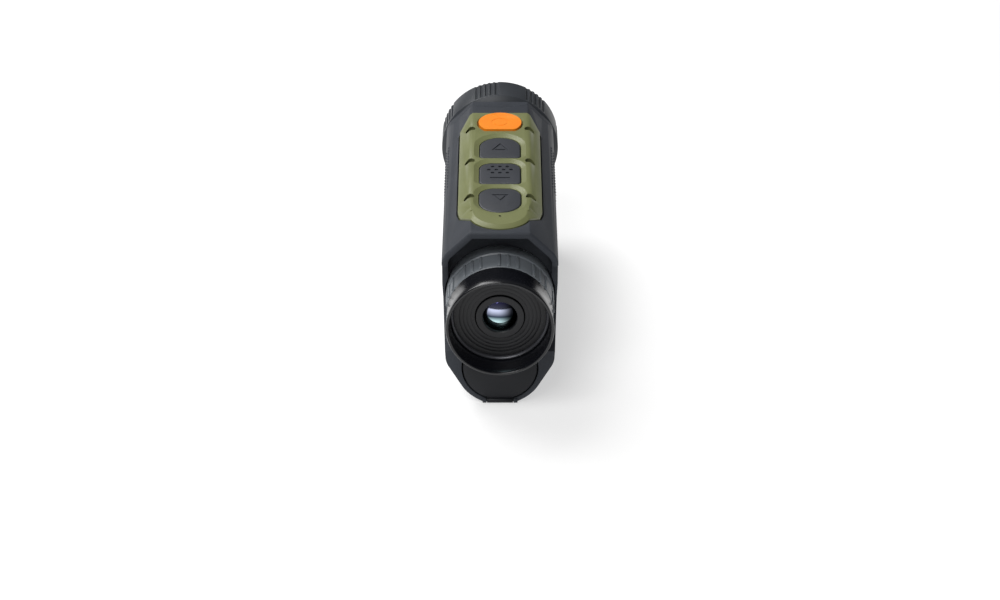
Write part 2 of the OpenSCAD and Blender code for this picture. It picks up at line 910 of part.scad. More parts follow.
module dioptre_ring() {
    color(shell_grey) {
        turned(eye_z, [
            [18.3 + run_fit, -63.5], [20.7, -63.5], [dioptre_r - 0.5, -63.1], [dioptre_r - 0.5, -53.8],
            [dioptre_r, -53.4], [dioptre_r, -47.3], [dioptre_r - 0.4, -46.9], [18.3 + run_fit, -46.9]
        ]);
        for (g = [0:8], k = [-1:1]) {
            translate([0, 0, eye_z]) rotate([0, 9 + 40 * g + 10 * k, 0])
                translate([-0.6, -63, dioptre_r - 1.2]) cube([1.2, 9, 1.2]);
        }
    }
}

module eyecup() {
    color(rubber_black) turned(eye_z, [
        [19.45, -63.55], [20.8, -63.55], [20.7, -64.4], [20.5, -66.2], [20.55, -68.5], [20.8, -71.5],
        [eyecup_r, eyecup_rear_y + 1], [eyecup_r - 0.3, eyecup_rear_y + 0.3],
        [eyecup_r - 0.7, eyecup_rear_y], [eyecup_r - 1.2, eyecup_rear_y + 0.3], [19.1, eyecup_rear_y + 1.6],
        [19.45, eyecup_rear_y + 3]
    ]);
}

module eyecup_retainer() {
    color(metal_black) turned(eye_z, [
        [18.35, -63.55], [18.35, -66.3], [18.6, -66.7], [18.9, -66.8], [19.2, -66.7], [19.4, -66.3],
        [19.4, -63.55]
    ]);
}

module ocular_cell() {
    color(metal_black) turned(eye_z, [
        [8.8, -65.9], [9.6, -65.9], [9.6, -60], [12.1, -60], [12.1, -50.5], [11.1, -50.5],
        [11.1, -58.5], [8, -58.5], [8, -61.3], [8.8, -61.3]
    ]);
}

module lens_bezel() {
    color(metal_black) turned(eye_z, [
        [6.7, -66.6], [7, -66.9], [9.4, -66.9], [9.6, -66.7], [9.6, -65.95], [8.75, -65.95],
        [8.75, -65.25], [6.7, -65.25]
    ]);
}

module eye_lens() {
    color(glass_blue) turned(eye_z, lens_points(8.7, -66.4, 18, -61.35, 300));
}

module field_lens() {
    color(glass_blue) turned(eye_z, lens_points(11, -58.4, 40, -52.4, 30));
}

module display_panel() {
    color(rubber_black) box([-8, -41.6, eye_z - 6.5], [8, -40.2, eye_z + 6.5]);
}

module display_holder() {
    color(dark_grey) {
        box([-16, -40.1, eye_z - 11], [16, -38, eye_z + 11]);
        for (x = [-13, 13], z = [eye_z - 9, eye_z + 9]) {
            rod_y(z, 1.2, -42.55, -40.1, x);
        }
    }
}

main_housing();
front_housing();
housing_screws();
button_bezel();
power_button();
up_button();
mode_button();
down_button();
button_board();
dome_switches();
board_screws();
light_pipe();
tripod_insert();
battery_sleeve();
battery_case();
battery_cell();
battery_contacts();
battery_door();
door_seal();
door_hinge_pin();
main_board();
board_chips();
heat_spreader();
usb_port();
usb_cover();
display_ribbon();
sensor_board();
thermal_sensor();
shutter_motor();
shutter_blade();
objective_barrel();
barrel_seal();
focus_ring();
lens_cell();
focus_pins();
front_lens();
rear_lens();
lens_retainer();
rangefinder_face();
emitter_window();
receiver_window();
emitter_tube();
receiver_tube();
emitter_lens();
receiver_lens();
laser_diode();
detector();
rangefinder_board();
ocular_barrel();
baffle_disc();
dioptre_ring();
eyecup();
eyecup_retainer();
ocular_cell();
lens_bezel();
eye_lens();
field_lens();
display_panel();
display_holder();
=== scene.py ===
import json
import math
import bmesh
import bpy
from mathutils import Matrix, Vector


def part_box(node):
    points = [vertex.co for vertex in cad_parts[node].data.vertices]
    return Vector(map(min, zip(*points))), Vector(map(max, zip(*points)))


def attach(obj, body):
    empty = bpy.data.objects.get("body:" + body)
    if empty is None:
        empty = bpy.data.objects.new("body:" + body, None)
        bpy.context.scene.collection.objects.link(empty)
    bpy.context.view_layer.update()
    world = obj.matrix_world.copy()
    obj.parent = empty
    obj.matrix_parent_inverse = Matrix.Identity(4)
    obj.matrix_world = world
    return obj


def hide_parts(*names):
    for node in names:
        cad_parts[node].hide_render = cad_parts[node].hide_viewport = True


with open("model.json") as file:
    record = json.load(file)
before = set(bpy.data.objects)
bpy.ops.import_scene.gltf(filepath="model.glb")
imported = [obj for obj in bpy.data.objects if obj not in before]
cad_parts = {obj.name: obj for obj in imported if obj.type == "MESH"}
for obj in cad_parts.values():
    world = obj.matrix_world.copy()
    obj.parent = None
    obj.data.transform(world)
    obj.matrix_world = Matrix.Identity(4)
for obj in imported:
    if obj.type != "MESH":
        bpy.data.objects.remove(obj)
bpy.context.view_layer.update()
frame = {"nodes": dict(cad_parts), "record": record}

mm = 0.001
nodes = frame["nodes"]

# small tools


def deselectAll():
    if bpy.context.mode != "OBJECT":
        bpy.ops.object.mode_set(mode="OBJECT")
    bpy.ops.object.select_all(action="DESELECT")


def makeActive(piece):
    deselectAll()
    piece.select_set(True)
    bpy.context.view_layer.objects.active = piece


def settle(name):  # name the new primitive and put its place into its mesh
    piece = bpy.context.object
    piece.name = name
    piece.data.name = name
    bpy.ops.object.transform_apply(location=True, rotation=True, scale=True)
    return piece


def block(name, low, high):  # cube between two corners, in mm
    deselectAll()
    low, high = Vector(low), Vector(high)
    bpy.ops.mesh.primitive_cube_add(size=1, location=(low + high) / 2)
    bpy.context.object.scale = high - low
    return settle(name)


def rod(name, radius, start, length, axis="Y", steps=96):  # cylinder from its start point, in mm
    deselectAll()
    turn = {"X": (0, math.pi / 2, 0), "Y": (math.pi / 2, 0, 0), "Z": (0, 0, 0)}[axis]
    way = {"X": Vector((1, 0, 0)), "Y": Vector((0, 1, 0)), "Z": Vector((0, 0, 1))}[axis]
    place = Vector(start) + way * length / 2
    bpy.ops.mesh.primitive_cylinder_add(
        vertices=steps, radius=radius, depth=length, location=place, rotation=turn)
    return settle(name)


def pick(piece, kind, test):  # edit mode with only the passing vertices, edges or faces selected
    makeActive(piece)
    bpy.ops.object.mode_set(mode="EDIT")
    bpy.ops.mesh.select_mode(type=kind)
    bpy.ops.mesh.select_all(action="DESELECT")
    mesh = bmesh.from_edit_mesh(piece.data)
    parts = {"VERT": mesh.verts, "EDGE": mesh.edges, "FACE": mesh.faces}[kind]
    for part in parts:
        if test(part):
            part.select_set(True)
    bmesh.update_edit_mesh(piece.data)


def modify(piece, kind, **settings):
    makeActive(piece)
    tool = piece.modifiers.new(kind.title(), kind)
    for key, value in settings.items():
        setattr(tool, key, value)
    bpy.ops.object.modifier_apply(modifier=tool.name)


def combine(piece, other, operation="DIFFERENCE"):
    modify(piece, "BOOLEAN", object=other, operation=operation, solver="MANIFOLD")
    bpy.data.objects.remove(other, do_unlink=True)


def bisect(piece, point, normal):  # takes away what lies beyond the plane
    pick(piece, "FACE", lambda f: True)
    bpy.ops.mesh.bisect(plane_co=point, plane_no=normal, use_fill=True, clear_outer=True)
    bpy.ops.object.mode_set(mode="OBJECT")


def bevelEdges(piece, test, width, segments=3):
    pick(piece, "EDGE", test)
    bpy.ops.mesh.bevel(offset=width, segments=segments, profile=0.5, affect="EDGES", clamp_overlap=True)
    bpy.ops.object.mode_set(mode="OBJECT")


def roundAll(piece, width, segments=3, angle=30):
    limit = math.radians(angle)
    modify(piece, "BEVEL", width=width, segments=segments, limit_method="ANGLE", angle_limit=limit)


def smooth(piece, angle=32):
    makeActive(piece)
    bpy.ops.object.shade_smooth_by_angle(angle=math.radians(angle))


def mergeAll(piece, distance=0.001):
    pick(piece, "VERT", lambda v: True)
    bpy.ops.mesh.remove_doubles(threshold=distance)
    bpy.ops.mesh.normals_make_consistent(inside=False)
    bpy.ops.object.mode_set(mode="OBJECT")


def lathe(name, profile, axisZ, axisX=0, steps=128):  # profile is a closed run of (radius, Y) in mm
    deselectAll()
    start = (axisX + profile[0][0], profile[0][1], axisZ)
    bpy.ops.mesh.primitive_plane_add(size=1, location=start)
    piece = settle(name)
    bpy.ops.object.mode_set(mode="EDIT")
    bpy.ops.mesh.select_mode(type="VERT")
    bpy.ops.mesh.select_all(action="SELECT")
    bpy.ops.mesh.merge(type="CENTER")
    for here, there in zip(profile, profile[1:] + profile[:1]):
        step = (there[0] - here[0], there[1] - here[1], 0)
        bpy.ops.mesh.extrude_region_move(TRANSFORM_OT_translate={"value": step})
    bpy.ops.mesh.select_all(action="SELECT")
    bpy.ops.mesh.remove_doubles(threshold=0.0005)
    bpy.ops.mesh.spin(steps=steps, angle=math.tau, center=(axisX, 0, axisZ), axis=(0, 1, 0))
    bpy.ops.mesh.select_all(action="SELECT")
    bpy.ops.mesh.remove_doubles(threshold=0.001)
    bpy.ops.mesh.normals_make_consistent(inside=False)
    bpy.ops.object.mode_set(mode="OBJECT")
    return piece


def copyPiece(piece, name):
    twin = piece.copy()
    twin.data = piece.data.copy()
    twin.name = name
    twin.data.name = name
    bpy.context.scene.collection.objects.link(twin)
    return twin


def joinAll(pieces, name):
    deselectAll()
    for piece in pieces:
        piece.select_set(True)
    bpy.context.view_layer.objects.active = pieces[0]
    bpy.ops.object.join()
    joined = bpy.context.object
    joined.name = name
    joined.data.name = name
    return joined


def turnAbout(piece, angle, axisZ, axisX=0):  # turns the mesh about an axis along Y
    makeActive(piece)
    bpy.context.scene.cursor.location = (axisX, 0, axisZ)
    bpy.ops.object.origin_set(type="ORIGIN_CURSOR")
    piece.rotation_euler = (0, math.radians(angle), 0)
    bpy.ops.object.transform_apply(location=True, rotation=True, scale=True)
    return piece


def finishPiece(piece, material, body, slot, *stands):  # brings a piece from mm to metres and hands it over
    makeActive(piece)
    piece.scale = (mm, mm, mm)
    bpy.ops.object.transform_apply(location=True, rotation=True, scale=True)
    piece.data.materials.clear()
    piece.data.materials.append(material)
    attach(piece, body)
    if stands:
        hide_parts(*stands)
    return piece


# materials


def linear(hexColour):  # sRGB hex to linear
    values = [int(hexColour[i:i + 2], 16) / 255 for i in (1, 3, 5)]
    return [v / 12.92 if v <= 0.04045 else ((v + 0.055) / 1.055) ** 2.4 for v in values] + [1]


def addNode(material, kind, settings=None, links=None):
    tree = material.node_tree
    node = tree.nodes.new(kind)
    for key, value in (settings or {}).items():
        if isinstance(key, int) or key in node.inputs:
            node.inputs[key].default_value = value
        else:
            setattr(node, key, value)
    for key, source in (links or {}).items():
        tree.links.new(source, node.inputs[key])
    return node


def newMaterial(name, settings):
    material = bpy.data.materials.new(name)
    material.use_nodes = True
    shader = material.node_tree.nodes["Principled BSDF"]
    for key, value in settings.items():
        shader.inputs[key].default_value = value
    return material, shader


# lengths in mm, the rest as fractions
moulded = {"drift": 14, "fineShare": 0.35, "rampLow": 0.35, "rampHigh": 0.95, "height": 0.02}


def grained(name, colour, deep, grain, roughness, bump, settings=None, spread=0.06):
    # a moulded skin: grain in mm, a little colour drift and a fine bump
    base = {"Roughness": roughness, "IOR": 1.5}
    base.update(settings or {})
    material, shader = newMaterial(name, base)
    tree = material.node_tree
    place = addNode(material, "ShaderNodeTexCoord").outputs["Object"]
    fineLook = {"Scale": 1 / (grain * mm), "Detail": 3.0, "Roughness": 0.6}
    fine = addNode(material, "ShaderNodeTexNoise", fineLook, {"Vector": place}).outputs["Fac"]
    driftLook = {"Scale": 1 / (moulded["drift"] * mm), "Detail": 2.0}
    drift = addNode(material, "ShaderNodeTexNoise", driftLook, {"Vector": place}).outputs["Fac"]
    share = {"operation": "MULTIPLY_ADD", 1: moulded["fineShare"]}
    blend = addNode(material, "ShaderNodeMath", share, {0: fine, 2: drift})
    ramp = addNode(material, "ShaderNodeValToRGB", {}, {"Fac": blend.outputs[0]})
    low, high = ramp.color_ramp.elements
    low.position, high.position = moulded["rampLow"], moulded["rampHigh"]
    low.color, high.color = linear(deep), linear(colour)
    tree.links.new(ramp.outputs["Color"], shader.inputs["Base Color"])
    ends = {"To Min": roughness - spread, "To Max": roughness + spread}
    rough = addNode(material, "ShaderNodeMapRange", ends, {"Value": fine})
    tree.links.new(rough.outputs["Result"], shader.inputs["Roughness"])
    relief = {"Strength": bump, "Distance": moulded["height"] * mm}
    lift = addNode(material, "ShaderNodeBump", relief, {"Height": fine})
    tree.links.new(lift.outputs["Normal"], shader.inputs["Normal"])
    return material

# painted reflections on the glass: their reach in mm, their side and fade as fractions, and their colour
# bands by height
paintedGlints = {
    "reach": 8.7, "left": 0.2, "bright": 0.1, "dark": 0.75, "rest": 0.02, "roughness": 0.08,
    "low": "#05070a", "high": "#6a64a8",
    "paintedGlintBands": ((0.33, "#d8fbff"), (0.49, "#243244"), (0.66, "#cfd6f2"), (0.82, "#7470b8")),
}


def paintedGlintGlassLook(name, centre):
    # near black glass with painted reflections: a cyan glint painted low down, a violet one above and none on
    # the right
    c = paintedGlints
    reach = c["reach"] * mm
    material, shader = newMaterial(name, {"Metallic": 1.0, "Roughness": c["roughness"]})
    tree = material.node_tree
    place = addNode(material, "ShaderNodeTexCoord").outputs["Object"]
    split = addNode(material, "ShaderNodeSeparateXYZ", {}, {"Vector": place})
    middle = {"operation": "SUBTRACT", 1: centre.x - c["left"] * reach}
    offset = addNode(material, "ShaderNodeMath", middle, {0: split.outputs["X"]})
    away = addNode(material, "ShaderNodeMath", {"operation": "ABSOLUTE"}, {0: offset.outputs[0]})
    fade = {
        "interpolation_type": "SMOOTHSTEP", "From Min": c["bright"] * reach, "From Max": c["dark"] * reach,
        "To Min": 1.0, "To Max": c["rest"],
    }
    across = addNode(material, "ShaderNodeMapRange", fade, {"Value": away.outputs[0]})
    rise = {"From Min": centre.z - reach, "From Max": centre.z + reach}
    height = addNode(material, "ShaderNodeMapRange", rise, {"Value": split.outputs["Z"]})
    ramp = addNode(material, "ShaderNodeValToRGB", {}, {"Fac": height.outputs["Result"]})
    low, high = ramp.color_ramp.elements
    low.color, high.color = linear(c["low"]), linear(c["high"])
    # each band is a painted reflection, set by height on the glass
    for level, shade in c["paintedGlintBands"]:
        stop = ramp.color_ramp.elements.new(level)
        stop.color = linear(shade)
    tint = addNode(material, "ShaderNodeVectorMath", {"operation": "SCALE"},
                   {0: ramp.outputs["Color"], "Scale": across.outputs["Result"]})
    tree.links.new(tint.outputs["Vector"], shader.inputs["Base Color"])
    return material

# after the two colours come the grain in mm, the roughness and the bump
# moulded glass-filled nylon: satin dark grey with a fine spark-eroded grain that softens reflections
shellNylon = grained(
    "moulded glass filled nylon", "#3b3e44", "#35383d", 0.25, 0.5, 0.35, {"Specular IOR Level": 0.12})
# the same nylon on the focus ring and, painted darker as shade, on the door and the rangefinder's face
ringNylon = grained("moulded nylon ring", "#383b40", "#2f3236", 0.25, 0.44, 0.3, {"Specular IOR Level": 0.3})
doorNylonPaintedShade = grained("moulded nylon door, painted darker", "#1b1d22", "#15171b", 0.25, 0.46, 0.3, {"Specular IOR Level": 0.25})
# the same nylon on the dioptre ring, painted lighter to stand in for light its recess keeps off
dioptreNylonPaintedLight = grained("moulded nylon ring, painted lighter", "#676c71", "#5f6469", 0.25, 0.42, 0.25)
# soft-touch coat over olive plastic: a smooth, slightly glossy skin with little grain
oliveCoat = grained(
    "soft touch coated olive plastic", "#777b53", "#6b6f49", 0.3, 0.38, 0.15, {"Specular IOR Level": 0.3})
# moulded silicone keys: smooth and satin, the orange one with a little light inside
orangeSilicone = grained(
    "moulded orange silicone", "#fb8d1a", "#f6830f", 0.3, 0.42, 0.12, {"Subsurface Weight": 0.05})
greySilicone = grained("moulded grey silicone", "#30333a", "#2a2d33", 0.3, 0.48, 0.15)
# moulded rubber: nearly black, with a skin smooth enough to draw a bright line along the rim
cupRubber = grained("moulded black rubber", "#111217", "#0c0d11", 0.25, 0.22, 0.06)
# black anodised aluminium: a deep black with a fine blasted grain
blackAnodised = grained(
    "blasted black anodised aluminium", "#101116", "#0b0c10", 0.15, 0.45, 0.06, {"Metallic": 0.2})
# the same finish painted pale grey on the ring that holds the cup, a painted highlight so its inner edge
# shows as a pale line
anodisedPaintedHighlight = grained(
    "turned anodised aluminium, painted pale", "#4a4b50", "#3e3f44", 0.15, 0.32, 0.05, {"Metallic": 0.4})
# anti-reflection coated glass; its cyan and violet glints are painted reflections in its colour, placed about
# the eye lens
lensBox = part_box("eye_lens")
paintedGlintGlass = paintedGlintGlassLook("optical glass with painted glints", (lensBox[0] + lensBox[1]) / 2)
# polished germanium: a dark mirror with a warm tint
germaniumGlass = grained("polished germanium", "#2a2624", "#231f1d", 3.0, 0.1, 0.0, {"Metallic": 0.8}, 0.01)

# body section, shared by the shells

bodySizes = {
    "halfWidth": 22.9, "top": 72.85, "topHalf": 11.8, "bellyRadius": 17.25, "bellyCentre": 16.1,
    "lowCorner": (21.5, 18.84), "midHeight": 46, "sideRound": 7, "lowRound": 8, "foldRound": 1, "lowTurn": 27,
}
halfDiagonal = math.sqrt(0.5)


def sectionBlock(name, rear, front, inset=0, floorCut=True):  # prism of the body's section along Y
    s = bodySizes
    sink = s["bellyCentre"] - s["bellyRadius"]
    wide = s["halfWidth"] - inset
    piece = block(name, (-wide, rear, sink + inset), (wide, front, s["top"] - inset))
    shoulder = s["top"] - (s["halfWidth"] - s["topHalf"])
    lowX, lowZ = s["lowCorner"]
    lean = Vector((s["midHeight"] - lowZ, 0, -(s["halfWidth"] - lowX))).normalized()
    chamfer = Vector((math.cos(math.pi / 6), 0, -0.5))
    bellyTip = Vector((s["bellyRadius"] * math.cos(math.pi / 6), 0, s["bellyCentre"] - s["bellyRadius"] / 2))
    diagonal = Vector((halfDiagonal, 0, halfDiagonal))
    slopes = (((s["halfWidth"], 0, shoulder), diagonal), ((lowX, 0, lowZ), lean), (bellyTip, chamfer))
    for point, normal in slopes:
        inner = Vector(point) - normal * inset
        for side in (1, -1):
            mirror = Vector((side, 1, 1))
            bisect(piece, inner * mirror, normal * mirror)

    def along(edge):
        a, b = edge.verts[0].co, edge.verts[1].co
        return abs(a.y - b.y) > 1 and a

    def corner(x, z, reach=1.5):
        def test(edge):
            a = along(edge)
            return bool(a) and abs(abs(a.x) - x) < reach and abs(a.z - z) < reach
        return test

    bellyReach = (s["bellyRadius"] - inset) * math.tan(math.pi / 6) - 0.02
    bevelEdges(piece, lambda e: bool(along(e)) and abs(along(e).z - sink - inset) < 0.1, bellyReach, 10)
    lowReach = max(s["lowRound"] - inset, 0.5) * math.tan(math.radians(s["lowTurn"] / 2))
    bevelEdges(piece, corner(lowX - inset, lowZ + inset * 0.2), lowReach, 4)
    miter = math.tan(math.pi / 8)  # the shoulders lean at 45 degrees
    sideReach = max(s["sideRound"] - inset, 0.5) * miter
    bevelEdges(piece, corner(wide, shoulder - inset * miter), sideReach, 6)
    foldReach = max(s["foldRound"] - inset, 0.3) * miter
    bevelEdges(piece, corner(s["topHalf"] - inset * miter, s["top"] - inset), foldReach, 3)
    if floorCut:
        bisect(piece, (0, 0, max(inset, 0)), (0, 0, -1))
    return piece


# plans of the button panel and its keys

panel = {
    "top": 74.05, "skin": 1.2, "sunk": 1.15, "chinCentre": -41.73, "chinRadius": 12.77, "chinWide": 10.5,
    "corners": [(10.5, -49), (16, -38.5), (17, -32.8), (17, 36.2), (13, 44.6), (11.5, 46)],
    "rear": -60, "front": 56, "dish": 1.0, "pinY": -45.6, "pinRadius": 0.5, "edge": 0.22,
    "pocketGap": 0.4, "edgeGap": 0.2, "window": (10.1, -42.6, 45.4),
    "keyDish": (0.45, 2.3), "powerDish": (0.4, 0.75),
    "moonRows": (31.5, 2.4, -28.5), "moonX": 12.35, "moonRadius": 2.1, "moonHigh": 1.7, "lip": 0.4,
}
keys = {
    "gap": 0.25, "half": 8.4, "up": (6, 24.3), "mode": (-16.8, 1.2), "down": (-41, -20.8), "top": 73.2,
    "low": 70, "powerY": 36, "powerRadius": 9, "powerFlat": 29.4, "powerTop": 74.6, "flange": 0.8,
    "flangeHigh": 0.8, "rim": 0.55, "powerRim": 1.7, "powerCorner": 2.2,
}


def arc(centre, radius, start, end, steps):  # points on an arc in plan, angles in degrees
    turns = [math.radians(start + (end - start) * i / steps) for i in range(steps + 1)]
    return [(centre[0] + radius * math.cos(t), centre[1] + radius * math.sin(t)) for t in turns]


def fillet(before, corner, after, radius, steps=10):
    corner = Vector(corner)
    one = (Vector(before) - corner).normalized()
    two = (Vector(after) - corner).normalized()
    half = one.angle(two) / 2
    centre = corner + (one + two).normalized() * radius / math.sin(half)
    first = corner + one * radius / math.tan(half) - centre
    last = corner + two * radius / math.tan(half) - centre
    start = math.degrees(math.atan2(first.y, first.x))
    sweep = (math.degrees(math.atan2(last.y, last.x)) - start + 540) % 360 - 180
    return arc(centre, radius, start, start + sweep, steps)


def mirrored(half):  # right half of a plan, then its mirror image
    return half + [(-x, y) for x, y in reversed(half) if abs(x) > 0.001]


def grow(plan, amount):  # moves a plan's outline outwards
    moved = []
    for i, here in enumerate(plan):
        before, after = Vector(plan[i - 1]), Vector(plan[(i + 1) % len(plan)])
        here = Vector(here)
        a = (here - before).normalized()
        b = (after - here).normalized()
        n1, n2 = Vector((a.y, -a.x)), Vector((b.y, -b.x))
        moved.append(tuple(here + (n1 + n2) * amount / (1 + n1.dot(n2))))
    return moved


def plate(name, plan, low, high):  # a plan drawn point by point, filled and extruded up
    deselectAll()
    bpy.ops.mesh.primitive_plane_add(size=1, location=(plan[0][0], plan[0][1], low))
    piece = settle(name)
    bpy.ops.object.mode_set(mode="EDIT")
    bpy.ops.mesh.select_mode(type="VERT")
    bpy.ops.mesh.select_all(action="SELECT")
    bpy.ops.mesh.merge(type="CENTER")
    for here, there in zip(plan, plan[1:] + plan[:1]):
        step = (there[0] - here[0], there[1] - here[1], 0)
        bpy.ops.mesh.extrude_region_move(TRANSFORM_OT_translate={"value": step})
    bpy.ops.mesh.select_all(action="SELECT")
    bpy.ops.mesh.remove_doubles(threshold=0.0005)
    bpy.ops.mesh.select_all(action="SELECT")
    bpy.ops.mesh.edge_face_add()
    bpy.ops.mesh.extrude_region_move(TRANSFORM_OT_translate={"value": (0, 0, high - low)})
    bpy.ops.mesh.select_all(action="SELECT")
    bpy.ops.mesh.normals_make_consistent(inside=False)
    bpy.ops.object.mode_set(mode="OBJECT")
    return piece


def keyPlan(span, rearRound, frontRound):
    half, rear, front = keys["half"], span[0], span[1]
    right = [(0, rear)] + fillet((0, rear), (half, rear), (half, front), rearRound)
    return mirrored(right + fillet((half, rear), (half, front), (0, front), frontRound) + [(0, front)])


def powerPlan():
    k = keys
    start = math.degrees(math.asin((k["powerFlat"] - k["powerY"]) / k["powerRadius"]))
    return arc((0, k["powerY"]), k["powerRadius"], start, 180 - start, 40)


def keyPlans():
    k = keys
    return {
        "powerKey": powerPlan(),
        "upKey": keyPlan(k["up"], 1.5, k["half"] - 0.2),
        "modeKey": keyPlan(k["mode"], 1.5, 5),
        "downKey": keyPlan(k["down"], k["half"] - 0.2, 6),
    }


def tapered(name, plan, lowGrow, highGrow, low, high):  # a plate whose sides lean outwards
    piece = plate(name, grow(plan, lowGrow), low, low + 0.02)
    makeActive(piece)
    bpy.ops.object.mode_set(mode="EDIT")
    bpy.ops.mesh.select_mode(type="VERT")
    mesh = bmesh.from_edit_mesh(piece.data)
    wide = grow(plan, highGrow)
    narrow = grow(plan, lowGrow)
    for vert in mesh.verts:
        if vert.co.z > low + 0.01:
            gaps = [math.dist(point, vert.co.xy) for point in narrow]
            x, y = wide[gaps.index(min(gaps))]
            vert.co = (x, y, high)
    bmesh.update_edit_mesh(piece.data)
    bpy.ops.object.mode_set(mode="OBJECT")
    return piece


# main housing

housing = {
    "rear": -65.6, "rearTop": -57.7, "slantLow": 24, "slantHigh": 58, "wallRear": -46.5, "cavity": -44,
    "seam": 57, "wall": 2, "rimSide": 1, "rimTop": 2.4, "rimFold": 5, "rimRound": 1.9, "recess": 22.2,
    "pocket": 15.3, "pocketFloor": -61.3, "hingeHeight": 1.1, "knuckle": 1.05, "knuckleHalf": 5.2,
    "earEnd": 7, "bore": 8.55, "boreHeight": 10.1,
}
objectiveZ = 49.65  # height of the objective's axis
eyeZ = 40.3  # height of the eyepiece's axis
aside = 40  # half width of the cutters, past both sides of the device
beyond = 90  # their reach behind and above it
grip = {"count": 15, "rear": -1, "pitchY": 2.5, "pitchZ": 2, "turnStart": 58.85, "radius": 0.6, "sink": 0.35}


def seamCone(extra):  # the joint line between the shells is a cone about the objective
    reach, slope = 12, 1.3
    middle = bodySizes["top"] - objectiveZ + extra
    deselectAll()
    bpy.ops.mesh.primitive_cone_add(
        vertices=160, radius1=middle - reach * slope, radius2=middle + reach * slope, depth=2 * reach,
        location=(0, 54, objectiveZ), rotation=(-math.pi / 2, 0, 0))
    return settle("seamCone")


def rearSpace():  # what lies behind the rear rim: a slant, then a straight rise
    h = housing
    low = block("rearSpace", (-aside, -beyond, h["slantLow"]), (aside, -50, h["slantHigh"]))
    rise, run = h["slantHigh"] - h["slantLow"], h["rearTop"] - h["rear"]
    bisect(low, (0, h["rear"], h["slantLow"]), (0, rise, -run))
    high = block("rearAbove", (-aside, -beyond, h["slantHigh"] - 0.001), (aside, h["rearTop"], beyond))
    combine(low, high, "UNION")
    return low


def rearRecess():  # the hollow that the dioptre ring turns in
    h = housing
    around = sectionBlock("recess", -75, h["wallRear"], h["rimSide"])
    combine(around, rod("recessRound", h["recess"], (0, -76, eyeZ), 40, steps=128), "INTERSECT")
    above = sectionBlock("recessAbove", -75, h["wallRear"], h["rimTop"])
    bevelEdges(above, lambda e: min(v.co.z for v in e.verts) > 66, h["rimFold"], 8)
    combine(above, block("recessTop", (-aside, -80, eyeZ), (aside, -40, beyond)), "INTERSECT")
    combine(around, above, "UNION")
    return around


def rimEdge(edge):  # the outer edge of the rear rim over the top and the shoulders
    flat = all(abs(v.co.y - housing["rearTop"]) < 0.01 for v in edge.verts)
    high = max(v.co.z for v in edge.verts) > housing["slantHigh"] + 0.5
    return flat and high and any(abs(f.normal.y) < 0.5 for f in edge.link_faces)


def panelPlan(extra=0):
    p = panel
    edgeTurn = math.degrees(math.acos(p["chinWide"] / p["chinRadius"]))
    chin = arc((0, p["chinCentre"]), p["chinRadius"], -90, -edgeTurn, 12)
    plan = mirrored(chin + p["corners"][1:])
    return grow(plan, extra) if extra else plan


def moonCutter(side, y, extra=0):  # half round hole with a flat rear
    r = panel["moonRadius"]
    moon = rod("moon", r + extra, (side * panel["moonX"], y - (r - panel["moonHigh"]), 60), 20, "Z", 40)
    combine(moon, block("moonFlat", (-30, y - panel["moonHigh"], 50), (30, y + 5, 90)), "INTERSECT")
    return moon


coverSizes = {
    "middle": 16, "half": 7, "low": 22.9, "high": 33, "axisX": 21.35, "rod": 0.7, "proud": 0.4,
    "holeHalf": 5.2, "holeLow": 25.1, "holeHigh": 30.1, "plugHalf": 3.9, "plugLow": 26.25, "plugHigh": 28.15,
    "ridges": 4, "ridgeLow": 29.2, "ridgePitch": 0.8, "ridgeRadius": 0.32,
}


def coverSpace(extra):  # the charging port's cover, or with some extra room the recess it lies in
    c = coverSizes
    rear, front = c["middle"] - c["half"] - extra, c["middle"] + c["half"] + extra
    skin = sectionBlock("usbCover", rear, front, -c["proud"])
    combine(skin, block("coverBox", (15, -10, c["low"]), (30, 40, c["high"] + extra)), "INTERSECT")
    combine(skin, sectionBlock("coverInside", rear - 5, front + 5, 1 + extra))
    hinge = rod("coverRod", c["rod"] + extra, (c["axisX"], rear, c["low"]), front - rear, "Y", 32)
    combine(skin, hinge, "UNION")
    return skin


def gripDots(body):  # raised dots where the fingers hold the sides
    g, wide, corner = grip, bodySizes["halfWidth"], bodySizes["sideRound"]
    rows = [(wide - g["sink"], g["turnStart"] - g["pitchZ"] * k) for k in range(1, 4)]
    for turn in (0, 17, 34):
        reach, angle = corner - g["sink"], math.radians(turn)
        rows.append((wide - corner + reach * math.cos(angle), g["turnStart"] + reach * math.sin(angle)))
    columns = []
    for k, (x, z) in enumerate(rows):
        for side in (-1, 1):
            deselectAll()
            place = (side * x, g["rear"] + 0.5 * g["pitchY"] * (k % 2), z)
            bpy.ops.mesh.primitive_ico_sphere_add(subdivisions=2, radius=g["radius"], location=place)
            dot = settle("gripDot")
            modify(dot, "ARRAY", count=g["count"], use_relative_offset=False, use_constant_offset=True,
                   constant_offset_displace=(0, g["pitchY"], 0))
            columns.append(dot)
    combine(body, joinAll(columns, "gripDots"), "UNION")


